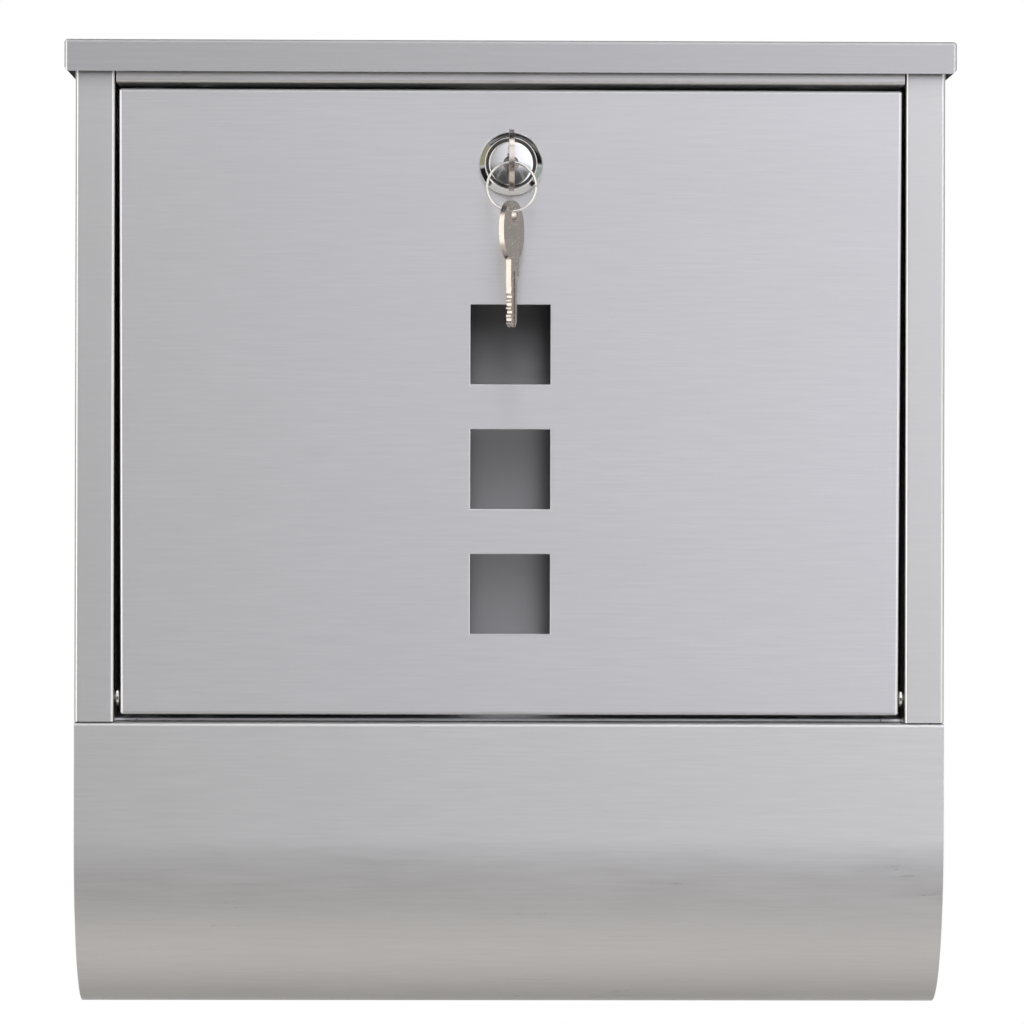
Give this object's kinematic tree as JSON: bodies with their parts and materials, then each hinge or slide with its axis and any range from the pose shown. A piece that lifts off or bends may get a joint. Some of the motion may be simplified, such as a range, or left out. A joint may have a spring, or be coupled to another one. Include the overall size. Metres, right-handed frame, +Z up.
{
  "type": "wall mounted mailbox",
  "caption": "Wall-mounted steel letterbox with a lift-up lid, a lockable drop-down door with square windows, keys on a ring and an open newspaper holder below.",
  "frame": {"origin": "middle of the four wall screw holes, on the rear face of the back panel", "axes": "+X to the right seen from the front, +Y into the wall (out of the back panel's rear face), +Z up"},
  "size_m": [0.3072, 0.1137, 0.335],
  "materials": {
    "body_steel": "horizontally brushed stainless steel",
    "door_steel": "horizontally brushed stainless steel",
    "lid_steel": "horizontally brushed stainless steel",
    "bright_steel": "bright drawn steel wire and rivets",
    "lock_chrome": "polished chrome plating",
    "zinc": "zinc-plated steel",
    "wafer_brass": "plain stamped brass",
    "key_nickel": "nickel-plated, slightly warm and worn"
  },
  "bodies": {
    "cabinet": {"housing_shell": "body_steel", "floor_panel": "body_steel", "newspaper_holder": "body_steel", "top_rail": "body_steel", "lid_hinge_leaf": "body_steel", "lid_hinge_rod": "bright_steel", "door_hinge_rivet_left": "bright_steel", "door_hinge_rivet_right": "bright_steel", "door_hinge_spacer_left": "bright_steel", "door_hinge_spacer_right": "bright_steel"},
    "lid": {"lid": "lid_steel"},
    "door": {"door_panel": "door_steel", "lock_housing": "lock_chrome", "lock_washer": "zinc", "lock_nut": "zinc"},
    "lock_plug": {"lock_plug": "lock_chrome", "cam": "zinc", "cam_washer": "zinc", "cam_screw": "zinc"},
    "wafers": {"wafer_1": "wafer_brass", "wafer_2": "wafer_brass", "wafer_3": "wafer_brass", "wafer_4": "wafer_brass", "wafer_5": "wafer_brass"},
    "key_in_lock": {"key_in_lock": "key_nickel"},
    "key_ring": {"key_ring": "bright_steel"},
    "spare_key": {"spare_key": "key_nickel"}
  },
  "joints": [
    {"name": "lid_hinge", "type": "hinge", "parent": "cabinet", "child": "lid", "pos_m": [0, -0.0032, 0.11785], "axis": [-1, 0, 0], "range_deg": [0, 90]},
    {"name": "door_hinge", "type": "hinge", "parent": "cabinet", "child": "door", "pos_m": [0, -0.0745, -0.1063], "axis": [1, 0, 0], "range_deg": [0, 105]},
    {"name": "lock_turn", "type": "hinge", "parent": "door", "child": "lock_plug", "pos_m": [0, -0.08, 0.0776], "axis": [0, 1, 0], "range_deg": [0, 90]},
    {"name": "wafer_drop", "type": "slide", "parent": "lock_plug", "child": "wafers", "axis": [0, 0, -1], "range_m": [0, 0.00071]},
    {"name": "key_slide", "type": "slide", "parent": "lock_plug", "child": "key_in_lock", "axis": [0, -1, 0], "range_m": [0, 0.03]},
    {"name": "ring_swing", "type": "hinge", "parent": "key_in_lock", "child": "key_ring", "pos_m": [0, -0.1041, 0.0764], "axis": [-1, 0, 0], "range_deg": [-10, 75]},
    {"name": "spare_key_swing", "type": "hinge", "parent": "key_ring", "child": "spare_key", "pos_m": [0, -0.10358, 0.0598], "axis": [-1, 0, 0], "range_deg": [-10, 60]}
  ],
  "couplings": [
    {"joint": "wafer_drop", "follows": "key_slide", "ratio": 0.0233}
  ]
}
